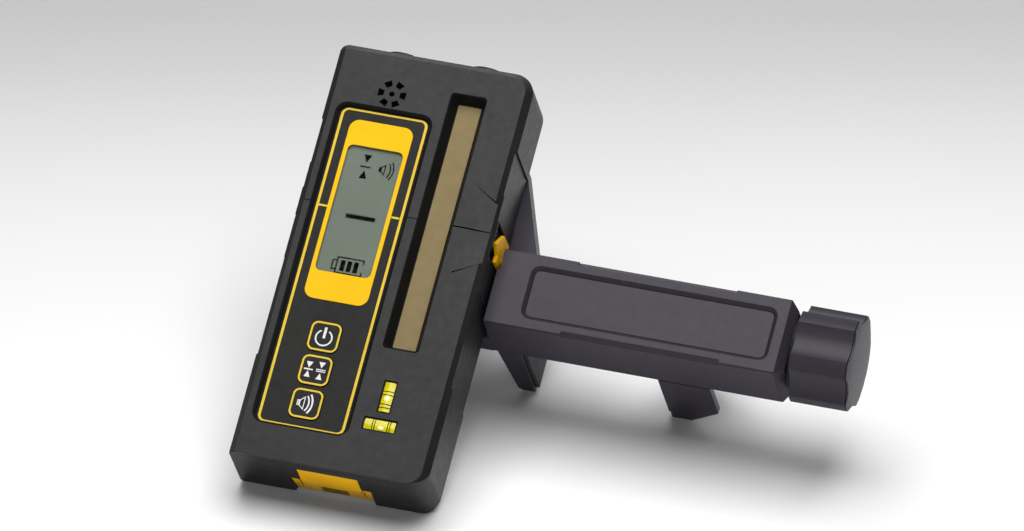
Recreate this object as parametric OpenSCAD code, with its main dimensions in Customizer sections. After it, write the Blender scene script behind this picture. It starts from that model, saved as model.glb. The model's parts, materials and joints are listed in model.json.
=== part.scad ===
// Laser receiver with a rod clamp, leaning on its own clamp
// Each piece is drawn with x across the receiver from its middle, y up from its bottom edge and z out of its front
// face, then leaned back until it rests on its lower back edge and on the tips of both jaws

/* [Receiver case] */
// Width of the receiver
case_w = 79.2; // [77.6:0.2:84.6]
// Height of the receiver
case_h = 175; // [173.5:0.5:187.5]
// Depth of the receiver from front face to back
case_d = 32; // [31.5:0.5:36]
// Wall of the rear case
wall = 2.4; // [2:0.1:2.6]
// Bevel round the front face
bevel = 2.6; // [1.5:0.1:3]
// Bevel round the back
back_bevel = 2.6; // [1.5:0.1:3]
// Radius of the two left corners
left_r = 3.4; // [3.2:0.1:5]
// Radius of the two right corners
right_r = 8.5; // [6:0.5:12]
// Radius of the lower right corner behind the front face
low_r = 8; // [6:0.5:9]
// Chamfer of the lower back edge that stands on the floor
foot = 1.5; // [0.8:0.1:2]
// Thickness of the front cover with its lip
cover_t = 4; // [3.8:0.1:4.6]
// Depth of the grip recess in both sides
grip_d = 0.7; // [0.3:0.1:0.9]
// Lower end of the grip recess
grip_low = 42; // [34:1:60]
// Margin above the grip recess
grip_head = 32; // [27.5:0.5:41.5]
// Width of the engraved on-grade line
line_w = 0.6; // [0.4:0.1:1]
// Depth of the engraved on-grade line
line_d = 0.4; // [0.2:0.1:0.6]
// Radius of the six case bosses
boss_r = 3; // [2.8:0.1:3.2]
// Radius of the case screws
case_screw_r = 1.25; // [1:0.05:1.4]

/* [Keypad and display] */
// Margin at the left of the keypad recess
panel_side = 5.9; // [5.7:0.1:7.4]
// Distance from the keypad recess to the middle of the window
panel_gap = 12.1; // [12:0.1:13]
// Lower edge of the keypad recess
panel_low = 14.7; // [14:0.1:16]
// Margin above the keypad recess
panel_head = 25.2; // [25.1:0.1:28]
// Corner radius of the keypad recess
panel_r = 4; // [2:0.5:5]
// Depth of the keypad recess
recess_d = 2.6; // [2:0.1:2.8]
// Slope at the mouth of the keypad recess
recess_slope = 0.9; // [0.4:0.1:1]
// Thickness of the keypad panel
panel_t = 0.6; // [0.4:0.1:0.8]
// Distance from the side of the keypad recess to the display bezel
bezel_side = 5.9; // [5.3:0.05:6.3]
// Lower edge of the display bezel
bezel_low = 68.6; // [68:0.1:70]
// Distance from the top of the keypad recess to the display bezel
bezel_head = 5.2; // [4:0.1:6]
// Thickness of the display bezel
bezel_t = 0.3; // [0.2:0.1:0.5]
// Width of the bezel beside the display opening
bezel_rim = 1.65; // [1.4:0.05:2.2]
// Lower edge of the display opening
display_low = 80.3; // [79.5:0.1:83]
// Height of the bezel above the display opening
display_head = 10.5; // [9.5:0.1:12]
// Side of a key
key_w = 12.4; // [11:0.1:13]
// Distance between keys
key_pitch = 14.2; // [14:0.1:15]
// Middle of the lowest key
key_low = 25.1; // [24.5:0.1:26]
// Corner radius of a key
key_r = 2.8; // [2:0.1:4]
// Height of a key above the panel
key_rise = 0.5; // [0.2:0.1:0.9]
// Stroke of a key
key_travel = 0.7; // [0.4:0.1:0.8]
// Clearance round a key
key_gap = 0.2; // [0.15:0.05:0.3]

/* [Receiving window and vials] */
// Distance from the right side to the middle of the receiving window and of both vials
window_side = 23.7; // [23.2:0.1:24]
// Width of the window opening in the face
window_w = 14.7; // [13:0.1:15]
// Lower end of the window opening
window_low = 52.9; // [52.5:0.1:54.5]
// Margin above the window opening
window_head = 13; // [12.5:0.1:15.5]
// Corner radius of the window opening
window_r = 2.2; // [1:0.1:2.6]
// Depth of the window lens behind the face
window_d = 5.5; // [4.8:0.1:6]
// Inward slope of the window walls
window_slope = 2.2; // [1.6:0.1:2.4]
// Thickness of the window lens
lens_t = 2; // [1.5:0.1:2.5]
// Length of a vial
vial_l = 13.4; // [12:0.1:13.6]
// Width of a vial
vial_w = 5.4; // [5:0.1:5.6]
// Middle of the upright vial
plumb_y = 33.2; // [32.8:0.1:34]
// Middle of the level vial
level_y = 21.3; // [20:0.1:22]
// Depth of a vial bar
vial_d = 6; // [5.6:0.1:7]
// Radius of the liquid in a vial
vial_bore_r = 2; // [1.6:0.1:2.2]

/* [Sound and magnets] */
// Distance from the top edge to the middle of the sound holes
sound_head = 18.2; // [17.5:0.1:18.5]
// Distance from the middle of the keypad to the sound holes
sound_shift = 0.6; // [-1:0.1:1.5]
// Radius of the middle sound hole
sound_hole_r = 1.1; // [0.8:0.1:1.4]
// Outer radius of the ring of sound holes
sound_ring_r = 5.6; // [5:0.1:6.5]
// Radius of the buzzer
buzzer_r = 8; // [7:0.5:8]
// Distance between the two magnets
magnet_gap = 34; // [30:1:40]
// Radius of a magnet housing
magnet_r = 8; // [6:0.5:9]
// Height of a magnet housing above the top edge
magnet_rise = 2.7; // [1.5:0.1:3.2]
// Depth of the magnets behind the front face
magnet_z = 15.5; // [14:0.5:17]

/* [Battery bay] */
// Middle of the battery bay across the receiver
flap_x = -1.1; // [-2.7:0.1:0.3]
// Radius of a battery cell
cell_r = 5.25; // [4.8:0.05:5.3]
// Length of a battery cell
cell_l = 44.5; // [40:0.5:46]
// Wall of the battery tray
tray_wall = 1.2; // [0.8:0.1:1.4]
// Width of the front part of the flap
flap_w = 24.2; // [24:0.1:26]
// Width of the flap over both ears
ear_w = 31.8; // [31.4:0.2:33]
// Front edge of the flap behind the front face
flap_front = 7.3; // [7:0.1:8]
// Front edge of the ears behind the front face
ear_front = 17.5; // [16:0.5:20]
// Thickness of the flap
flap_t = 3.2; // [3:0.1:3.6]
// Slope of the flap at its back
flap_slope = 1.9; // [1.7:0.1:2]
// Radius of the flap pin
flap_pin_r = 0.8; // [0.6:0.05:0.9]

/* [Clamp] */
// Space between the receiver and the end of the arm
arm_gap = 1; // [0.9:0.1:1.6]
// Length of the arm
arm_l = 116.3; // [112:0.1:124]
// Height of the arm
arm_h = 31.5; // [30.5:0.1:33]
// Depth of the arm
arm_d = 29.3; // [29:0.1:31]
// Front of the arm behind the front face of the receiver
arm_front = 15.7; // [15:0.1:17]
// Wall of the arm
arm_wall = 3; // [2.8:0.1:3.2]
// Solid length at the receiver end of the arm
arm_root = 14; // [13.5:0.5:15]
// Chamfer of the long edges of the arm
arm_edge = 0.6; // [0.4:0.1:1.2]
// Depth of the two scoops along the front of the arm
scoop = 1.8; // [1.2:0.1:2.4]
// Reach of the jaws behind the arm
jaw_reach = 37; // [32:0.5:40]
// Width of the fixed jaw at its root
fixed_jaw_w = 11.2; // [10.5:0.1:12]
// Width that the fixed jaw loses towards its tip
fixed_jaw_taper = 3; // [2:0.1:4]
// Thickness of the jaw pads
pad_t = 1.6; // [1.2:0.1:2]
// Space between the moving jaw and the end of the arm as shown
jaw_room = 29.3; // [29:0.1:34]
// Width of the moving jaw with its pad
jaw_w = 22; // [21:0.2:23]
// Length of the slanted outer corner of the moving jaw
jaw_corner = 12.5; // [9:0.1:13]
// Wall of the moving jaw
jaw_wall = 2.6; // [2:0.1:3]
// Opening between the pads when closed
jaw_shut = 12.4; // [11:0.2:16]
// How far the jaw opens from the pose shown
jaw_open = 17; // [10:0.5:17]
// Thickness of the bracket rim
bracket_rim = 3; // [2.8:0.1:3.4]
// Margin at the left of the bracket
bracket_side = 10.6; // [8.6:0.1:14.6]
// Margin above the bracket
bracket_head = 25; // [19.5:0.5:31.5]
// Lean of the slanted bracket edge, across for each millimetre up
bracket_lean = 0.37; // [0.3:0.01:0.4]
// Radius of the bracket screws and jaw bolts
bolt_r = 1.6; // [1.4:0.1:1.8]

/* [Receiver rail] */
// Half height of the rail neck
rail_neck = 6; // [5:0.1:6.5]
// Half height of the rail head
rail_head = 8.5; // [8:0.1:9]
// Depth of the lips that hold the rail head
rail_lip = 2.8; // [2.6:0.1:3]
// Thickness of the rail head
rail_head_t = 2.4; // [2:0.1:2.6]
// Margin at the left of the channel
channel_side = 13.9; // [12.9:0.1:18.6]
// Clearance round the rail
rail_gap = 0.2; // [0.15:0.05:0.3]

/* [Screw and knob] */
// Radius of the lead screw
screw_r = 4; // [3.6:0.1:4.4]
// Radius of the screw where it turns in its bush
journal_r = 3.4; // [3:0.1:3.5]
// Radius of the screw tail
tail_r = 2.8; // [2.4:0.1:3]
// Running clearance round the screw
run_gap = 0.05; // [0.03:0.01:0.08]
// Chamfered length of the arm end cap
cap_l = 3.2; // [2.8:0.1:4]
// Length of the end cap plug inside the arm
plug_l = 7; // [6:0.5:7.5]
// Space between the end cap and the knob
knob_gap = 2.1; // [1.6:0.1:3]
// Radius of the knob
knob_r = 19.1; // [18:0.1:20.5]
// Length of the knob without its end
knob_l = 22.4; // [18:0.1:24]
// Length of the domed knob end
dome_l = 1.7; // [1.2:0.1:4]
// Number of flutes round the knob
flute_n = 6; // [5:1:8]
// Depth of a flute
flute_d = 3; // [1.5:0.1:3.4]
// Radius of a flute
flute_r = 13.1; // [9:0.1:14]
// Turn of the first flute
flute_turn = 32; // [20:1:45]

/* [Latch] */
// Thickness of the latch plate
latch_t = 1.5; // [1.3:0.1:1.6]
// Depth of the notch in the receiver for the latch
notch_d = 2.3; // [2.2:0.1:2.4]
// Radius of the latch pin
latch_pin_r = 0.8; // [0.6:0.05:0.9]
// Height of the latch pin below the on-grade line
latch_pin_drop = 3.5; // [3.2:0.1:4]
// Angle that the latch turns when pressed
latch_turn = 7; // [4:1:8]

/* [Hidden] */
$fn = 64;
// Clearances between fixed pieces
fit = 0.2;
// Clearance of a screw in the hole that it grips
snug = 0.02;
// Clearance of moving pieces
slack = 0.3;
// Overrun of a cut past the surface that it opens
over = 1;
// Smallest inside corner radius
small_r = 0.4;

half_w = case_w / 2;
case_low = -max(bevel, back_bevel);
seam_z = -bevel - fit;
inner_back = -case_d + wall;
lip_inset = wall + fit;
window_x = half_w - window_side;
panel_w = window_x - panel_gap + half_w - panel_side;
panel_h = case_h - panel_head - panel_low;
panel_x = -half_w + panel_side + panel_w / 2;
panel_mid = panel_low + panel_h / 2;
bezel_w = panel_w - 2 * bezel_side;
bezel_h = panel_low + panel_h - bezel_head - bezel_low;
bezel_mid = bezel_low + bezel_h / 2;
display_w = bezel_w - 2 * bezel_rim;
display_h = bezel_low + bezel_h - display_head - display_low;
display_mid = display_low + display_h / 2;
window_h = case_h - window_head - window_low;
sound_x = panel_x + sound_shift;
sound_y = case_h - sound_head;
bracket_left = -half_w + bracket_side;
bracket_top = case_h - bracket_head;
channel_left = -half_w + channel_side;

// On-grade line and the grips beside it
grade_up = 0.2;
grade_y = display_mid + grade_up;
grip_high = case_h - grip_head;
ridge_low = grade_y - 24;
ridge_high = grade_y + 16.6;
bump_low = grade_y - 5.6;
bump_high = grade_y + 6;

// Levels behind the front cover
panel_top = -recess_d + panel_t;
display_lens_t = 1;
lcd_t = 1.2;
lens_rim = 1;
holder_floor = 1.6;
holder_h = 4.8;
lcd_back = panel_top - display_lens_t - lcd_t;
board_z = lcd_back - holder_h;
board_t = 1.6;
display_r = 2.4;
holder_rim = 3.6;
key_ys = [key_low, key_low + key_pitch, key_low + 2 * key_pitch];
key_flange = 0.6;
key_flange_t = 0.8;
flange_top = -cover_t - slack;
switch_h = 2;
switch_base = 1.4;
switch_w = 6;
plunger_r = 1.6;
stem_r = 2;
stem_end = board_z + switch_h + key_travel + slack / 3;
post_r = 2;
post_screw_r = 0.9;
post_screw_l = 3.5;
screw_head_t = 1.2;

// Case screws stand beside the boards
boss_x = half_w - wall - boss_r - over;
boss_split = -14;
case_head_r = case_screw_r * 2;
case_head_d = 3;
head_sink = 0.4;
case_screw_tip = -cover_t - 3;

// Receiving window
seat = 1.2;
frame_wall = 1.4;
window_mid = window_low + window_h / 2;
lens_w = window_w - 2 * window_slope + 2 * seat;
lens_h = window_h - 2 * window_slope + 2 * seat;
frame_w = lens_w + 2 * fit + 2 * frame_wall;
frame_h = lens_h + 2 * fit + 2 * frame_wall;
diode_t = 0.8;
frame_z = -window_d - lens_t - diode_t - fit;
sensor_t = 1.2;
diode_w = 3;
diode_n = 9;
diode_pitch = (lens_h - 2 * seat) / diode_n;
vial_top = -0.5;
vial_step = 0.4;
vial_neck = 1.4;
bubble_l = 5;
bubble_r = vial_bore_r * 0.6;

// Ramp beside the window
ramp_x = window_x + window_w / 2 + 4.1;
ramp_d = 1;
ramp_low = 18.7;
ramp_high = 18.5;
ramp_slant = 7.6;

// Main board between the left bosses and the window
board_x0 = -boss_x + boss_r + over;
board_x1 = window_x - frame_w / 2 - over;
board_y0 = panel_low;
board_y1 = display_low + display_h + holder_rim + 2 * post_r + over;
board_inset = post_r + 0.4;
posts = [for (x = [board_x0 + board_inset, board_x1 - board_inset])
         for (y = [board_y0 + board_inset, board_y1 - board_inset]) [x, y]];
chip_t = 1.4;
// Chips as height above the display edge, half width and length
chips = [[0, 6, 10], [25, 5, 7], [45, 5, 7]];

// Sound
membrane_t = 0.4;
buzzer_t = 4;
sound_in_r = 3.2;
sound_n = 6;
sound_flare = 1.5;

// Battery bay
cell_gap = 0.3;
cell_x = cell_r + cell_gap / 2;
bay_w = 4 * cell_r + 3 * cell_gap;
bay_d = 2 * cell_r + 2 * cell_gap;
bay_back = inner_back + tray_wall;
cell_z = bay_back + bay_d / 2;
bay_ceiling = flap_t + slack;
frame_t = 3;
frame_top = bay_ceiling + frame_t;
contact_t = 1;
cell_low = flap_t + contact_t + slack;
cell_high = cell_low + cell_l;
spring_l = 3.6;
coil_foot_r = cell_r * 0.8;
coil_tip_r = cell_r * 0.5;
tray_top = cell_high + spring_l + tray_wall;
flap_bottom = 0.15;
flap_back = -case_d + 0.6;
crease_z = -ear_front - 0.5;
flap_pin_y = 1.7;
flap_pin_z = -flap_front - 2.2;
flap_pin_l = flap_w + 6;
swing_r = 2.9;
seal_w = 1;
seal_t = 0.2;
ear_slot = 1;
thumb_w = 11;
thumb_l = 8;
thumb_d = 0.4;

// Magnets
disc_r = magnet_r - 1.6;
disc_t = magnet_rise + 0.7;

// Clamp
arm_x0 = half_w + arm_gap;
arm_x1 = arm_x0 + arm_l;
arm_rise = 0.7;
arm_high = grade_y + arm_rise;
arm_low = arm_high - arm_h;
arm_mid = (arm_high + arm_low) / 2;
arm_back = arm_front + arm_d;
arm_mid_z = -(arm_front + arm_back) / 2;
hollow_x = arm_x0 + arm_root;
hollow_h = arm_h - 2 * arm_wall;
hollow_d = arm_d - 2 * arm_wall;
tip_z = -arm_back - jaw_reach;
jaw_root_x = arm_x0 + 1.4;
fixed_face = jaw_root_x + fixed_jaw_w;
pad_inset = 1.5;
plate_d = 1.4;
plate_t = 0.8;
plate_x0 = arm_x0 + 14.7;
plate_x1 = arm_x1 - 5.3;
plate_low = arm_low + 5.7;
plate_high = arm_high - 6;
plate_x = (plate_x0 + plate_x1) / 2;
plate_y = (plate_low + plate_high) / 2;
plate_w = plate_x1 - plate_x0;
plate_h = plate_high - plate_low;
plate_r = 2.5;
scoop_x0 = arm_x0 + 31;
scoop_x1 = arm_x1 - 22;

// Bracket
bracket_front = -case_d - slack;
bracket_right = arm_x0 - 0.1;
bracket_skin = 3;
bracket_wall = 4;
gusset_inset = 6.6;
gusset_low = arm_high + 0.1;
gusset_x = fixed_face - 0.8;
gusset_top_x = gusset_x - (bracket_top - gusset_low) * bracket_lean;
bolt_dy = 9;
bolt_ys = [arm_mid - bolt_dy, arm_mid + bolt_dy];
bracket_bolt_z = (bracket_front - bracket_skin - arm_back) / 2;
bolt_head_r = bolt_r * 1.8;
bolt_head_t = 2.4;
bracket_bolt_tip = arm_x0 + 9;

// Case bosses, with the middle pair below the channel
boss_end = 12.5;
boss_drop = 26.4;
boss_ys = [boss_end, arm_mid - boss_drop, case_h - boss_end];

// Rail
rail_z = -case_d + rail_lip;
channel_front = rail_z + rail_head_t + 2 * rail_gap;
channel_wall = 2.2;

// Moving jaw
jaw_x1 = arm_x1 - jaw_room;
jaw_x0 = jaw_x1 - jaw_w + pad_t;
jaw_close = jaw_x0 - pad_t - fixed_face - jaw_shut;
jaw_back = -arm_back - slack;
jaw_base = 3.6;
carriage_inset = 2;
carriage_x0 = jaw_x0 + carriage_inset;
carriage_x1 = jaw_x1 - carriage_inset;
neck_inset = 1;
neck_h = 13;
slot_h = neck_h + 2 * slack;
slot_x0 = carriage_x0 + neck_inset - jaw_close - over;
slot_x1 = carriage_x1 - neck_inset + jaw_open + over;
nut_w = 13;
nut_l = 10;
jaw_bolt_dx = (jaw_x1 - jaw_x0) / 2 - jaw_wall - bolt_head_r - fit;
jaw_bolt_tip = arm_mid_z - nut_w / 2 - 2;
carriage_mid = (carriage_x0 + carriage_x1) / 2;

// Screw and knob
plug_x = arm_x1 - plug_l;
cap_x = arm_x1 + cap_l;
bush_r = 6;
collar_r = 5.6;
collar_l = 2.4;
ring_r = 15;
knob_x0 = cap_x + knob_gap;
knob_x1 = knob_x0 + knob_l;
knob_end = knob_x1 + dome_l;
flute_x = knob_r - flute_d + flute_r;
// Groove under the domed end, and its profile as shares of the knob radius and of its length above the groove
groove_w = 0.3;
groove_r = knob_r - flute_d - 0.6;
dome = [[1, 0], [1, 0.1], [0.85, 0.55], [0.6, 0.8], [0, 1]];
hub_l = 12;
set_screw_r = 1.5;
set_screw_x = knob_x0 + 6;
tail_x = hollow_x - 6;
tail_step = hollow_x + over;

// Latch
latch_x0 = half_w - 0.8;
latch_x1 = latch_x0 + latch_t;
latch_pin_x = arm_x0 + 2.2;
latch_pin_y = grade_y - latch_pin_drop;
barrel_r = 1.8;
barrel_front = -arm_front - 4;
barrel_back = barrel_front - 6;
latch_low = grade_y - 7.3;
latch_high = grade_y + 5.8;
latch_back = rail_z + rail_gap + rail_head_t + slack;
latch_nose_y = grade_y - 1.9;
latch_nose_z = -5.8;
latch_top_z = -14.7;
latch_step_y = latch_low + 3.3;
latch_step_z = -12.2;
latch_slant = 0.6;
latch_pin_grip = 3;
grade_pad_front = -6;
notch_low = latch_low - over;
notch_high = latch_high + over;
relief = (latch_pin_y - latch_low) * sin(latch_turn) + slack + fit;
latch_spring_t = 1.2;

// Lean of the whole object
lean = atan2(-tip_z - case_d, arm_low - foot);
lift = case_d * cos(lean) - foot * sin(lean);
top_reach = case_h * cos(lean) + (case_d - back_bevel) * sin(lean);
magnet_reach = (case_h + magnet_rise) * cos(lean) + (magnet_z + magnet_r) * sin(lean);
mid_y = max(top_reach, magnet_reach) / 2;
mid_x = (knob_end - half_w) / 2;

case_grey = [0.09, 0.09, 0.095];
black = [0.03, 0.03, 0.03];
yellow = [0.95, 0.68, 0.02];
steel = [0.7, 0.7, 0.72];
board_green = [0.05, 0.3, 0.15];

module posed(shade)
{
    color(shade)
    translate([-mid_x, -mid_y, lift])
    rotate([lean, 0, 0])
    children();
}

// Box between two opposite corners
module span(a, b)
{
    translate(a) cube(b - a);
}

module round_rect(w, h, r)
{
    square([w - 2 * r, h], center = true);
    square([w, h - 2 * r], center = true);
    for (x = [-1, 1], y = [-1, 1])
        translate([x * (w / 2 - r), y * (h / 2 - r)]) circle(r);
}

// Rounded plate about a middle point, between two levels
module pad(x, y, w, h, r, z0, z1)
{
    translate([x, y, z0]) linear_extrude(z1 - z0) round_rect(w, h, r);
}

// Outline in y and z drawn along x
module along_x(x0, x1)
{
    translate([x0, 0, 0]) rotate([90, 0, 90]) linear_extrude(x1 - x0) children();
}

// Outline in x and z drawn along y
module along_y(y0, y1)
{
    translate([0, y1, 0]) rotate([90, 0, 0]) linear_extrude(y1 - y0) children();
}

module rod_x(r, x0, x1, y, z)
{
    translate([x0, y, z]) rotate([0, 90, 0]) cylinder(h = x1 - x0, r = r);
}

module rod_y(r, x, y0, y1, z)
{
    translate([x, y1, z]) rotate([90, 0, 0]) cylinder(h = y1 - y0, r = r);
}

module rod_z(r, x, y, z0, z1)
{
    translate([x, y, z0]) cylinder(h = z1 - z0, r = r);
}

// Outline of the case, drawn in from its sides by the inset
module case_outline(inset)
{
    l = -half_w + inset;
    r = half_w - inset;
    b = case_low + inset;
    t = case_h - inset;
    lr = max(left_r - inset, small_r);
    rr = max(right_r - inset, small_r);
    translate([l + lr, b]) square([r - l - lr - rr, t - b]);
    translate([l, b + lr]) square([lr, t - b - 2 * lr]);
    translate([r - rr, b + rr]) square([rr, t - b - 2 * rr]);
    for (y = [b + lr, t - lr])
        translate([l + lr, y]) circle(lr);
    for (y = [b + rr, t - rr])
        translate([r - rr, y]) circle(rr);
}

// All that lies above the bottom of the case, with the lower right corner rounded
module above_bottom(inset, z0, z1)
{
    mid = half_w - low_r + fit;
    span([-case_w, inset, z0], [mid, case_h + over, z1]);
    span([-case_w, low_r, z0], [case_w, case_h + over, z1]);
    rod_z(low_r - inset, mid, low_r, z0, z1);
}

// Block with the case outline, flat at the bottom
module case_block(inset, z0, z1)
{
    intersection() {
        translate([0, 0, z0]) linear_extrude(z1 - z0) case_outline(inset);
        above_bottom(inset, z0, z1);
    }
}

// Block that draws in on all sides over its height, with a radius for the left corners and one for the right
module frustum(l, r, b, t, lr, rr, h)
{
    for (y = [b + lr, t - lr])
        translate([l + lr, y, 0]) cylinder(h = h, r1 = lr, r2 = lr - h);
    for (y = [b + rr, t - rr])
        translate([r - rr, y, 0]) cylinder(h = h, r1 = rr, r2 = rr - h);
    along_x(l + lr, r - rr)
        polygon([[b, 0], [t, 0], [t - h, h], [b + h, h]]);
    along_y(b + lr, t - lr)
        polygon([[l, 0], [l + lr, 0], [l + lr, h], [l + h, h]]);
    along_y(b + rr, t - rr)
        polygon([[r, 0], [r - h, h], [r - rr, h], [r - rr, 0]]);
}

module case_frustum(h)
{
    frustum(-half_w, half_w, case_low, case_h, left_r, right_r, h);
}

// Cut with walls at 45 degrees about a middle point, as large as given at its floor
module sloped_cut(x, y, w, h, r, d)
{
    e = d + over;
    translate([0, 0, over]) mirror([0, 0, 1])
        frustum(x - w / 2 - e, x + w / 2 + e, y - h / 2 - e, y + h / 2 + e, r + e, r + e, e);
}

module flat_bottom(z0, z1)
{
    intersection() {
        children();
        above_bottom(0, z0, z1);
    }
}

module window_funnel()
{
    w0 = window_w / 2;
    w1 = w0 - window_slope;
    h0 = window_h / 2;
    h1 = h0 - window_slope;
    rise = over * window_slope / window_d;
    intersection() {
        along_y(window_low - over, window_low + window_h + over)
            polygon([[window_x - w1, -window_d], [window_x + w1, -window_d],
                     [window_x + w0 + rise, over], [window_x - w0 - rise, over]]);
        along_x(window_x - window_w, window_x + window_w)
            polygon([[window_mid - h1, -window_d], [window_mid + h1, -window_d],
                     [window_mid + h0 + rise, over], [window_mid - h0 - rise, over]]);
        pad(window_x, window_mid, window_w + fit, window_h + fit, window_r, -window_d - over, over);
    }
}

module sound_holes(z0, z1)
{
    rod_z(sound_hole_r, sound_x, sound_y, z0, z1);
    for (i = [0:sound_n - 1])
        translate([sound_x, sound_y, z0]) rotate([0, 0, i * 360 / sound_n]) linear_extrude(z1 - z0)
            polygon([[sound_in_r, -sound_hole_r], [sound_ring_r, -sound_flare * sound_hole_r],
                     [sound_ring_r, sound_flare * sound_hole_r], [sound_in_r, sound_hole_r]]);
}

// Ramp that deepens across the right margin, its lower groove and the engraved on-grade lines
module grade_marks()
{
    intersection() {
        translate([0, 0, -ramp_d - over]) linear_extrude(ramp_d + 2 * over)
            polygon([[ramp_x, grade_y - ramp_low], [half_w + over, grade_y - ramp_low + ramp_slant],
                     [half_w + over, grade_y + ramp_high - ramp_slant], [ramp_x, grade_y + ramp_high]]);
        along_y(0, case_h)
            polygon([[ramp_x, 0], [half_w - bevel, -ramp_d], [half_w + over, -ramp_d], [half_w + over, over],
                     [ramp_x, over]]);
    }
    span([-half_w - over, grade_y - line_w / 2, -line_d],
         [panel_x - panel_w / 2, grade_y + line_w / 2, over]);
    span([panel_x + panel_w / 2, grade_y - line_w / 2, -line_d],
         [window_x - window_w / 2, grade_y + line_w / 2, over]);
    span([window_x + window_w / 2, grade_y - line_w / 2, -ramp_d - line_d],
         [half_w + over, grade_y + line_w / 2, over]);
    translate([0, 0, -ramp_d - line_d]) linear_extrude(ramp_d + line_d + over)
        polygon([[ramp_x, grade_y - ramp_low - line_w], [half_w + over, grade_y - ramp_low + ramp_slant - line_w],
                 [half_w + over, grade_y - ramp_low + ramp_slant], [ramp_x, grade_y - ramp_low]]);
}

// Grip recesses in both sides, half as deep on the ridges next to the on-grade line
module grips(z0, z1)
{
    for (s = [-1, 1], p = [[grip_low, ridge_low, grip_d], [ridge_low, bump_low, grip_d / 2],
                           [bump_high, ridge_high, grip_d / 2], [ridge_high, grip_high, grip_d]])
        span([s * half_w - (s > 0 ? p[2] : over), p[0], z0], [s * half_w + (s > 0 ? over : p[2]), p[1], z1]);
}

module case_bosses(r, z0, z1)
{
    for (x = [-boss_x, boss_x], y = boss_ys)
        rod_z(r, x, y, z0, z1);
}

// Plate as large as the display opening and a rim round it
module display_plate(rim, z0, z1)
{
    pad(panel_x, display_mid, display_w + 2 * rim, display_h + 2 * rim, display_r, z0, z1);
}

// Opening that the display and its lens sit in
module display_pocket(z0, z1)
{
    display_plate(lens_rim + fit / 2, z0, z1);
}

module key_holes(z0, z1)
{
    for (y = key_ys)
        pad(panel_x, y, key_w + 2 * key_gap, key_w + 2 * key_gap, key_r + key_gap, z0, z1);
}

module front_cover() posed(case_grey) difference() {
    union() {
        flat_bottom(-bevel, over) translate([0, 0, -bevel]) case_frustum(bevel);
        case_block(lip_inset, -cover_t, -bevel);
        span([window_x - frame_w / 2, window_mid - frame_h / 2, frame_z],
             [window_x + frame_w / 2, window_mid + frame_h / 2, -bevel]);
        case_bosses(boss_r, boss_split + fit, -bevel);
        for (p = posts)
            rod_z(post_r, p.x, p.y, board_z, -bevel);
    }
    pad(panel_x, panel_mid, panel_w, panel_h, panel_r, -recess_d, over);
    sloped_cut(panel_x, panel_mid, panel_w, panel_h, panel_r, recess_slope);
    display_pocket(-cover_t - over, 0);
    key_holes(-cover_t - over, 0);
    window_funnel();
    span([window_x - lens_w / 2 - fit, window_mid - lens_h / 2 - fit, frame_z - over],
         [window_x + lens_w / 2 + fit, window_mid + lens_h / 2 + fit, -window_d]);
    pad(window_x, plumb_y, vial_w + fit, vial_l + fit, small_r, -cover_t - over, over);
    pad(window_x, level_y, vial_l + fit, vial_w + fit, small_r, -cover_t - over, over);
    sound_holes(-cover_t - over, over);
    grade_marks();
    grips(-cover_t, over);
    case_bosses(case_screw_r + snug, boss_split, case_screw_tip + over);
    for (p = posts)
        rod_z(post_screw_r + snug, p.x, p.y, board_z - over, board_z + post_screw_l - board_t + fit);
}

module flap_pocket()
{
    span([flap_x - flap_w / 2 - slack, -over, -ear_front - over],
         [flap_x + flap_w / 2 + slack, bay_ceiling, -flap_front + slack]);
    span([flap_x - ear_w / 2 - slack, -over, -case_d - over],
         [flap_x + ear_w / 2 + slack, bay_ceiling, -ear_front + slack]);
    rod_x(swing_r, flap_x - flap_w / 2 - slack, flap_x + flap_w / 2 + slack, flap_pin_y, flap_pin_z);
}

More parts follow.
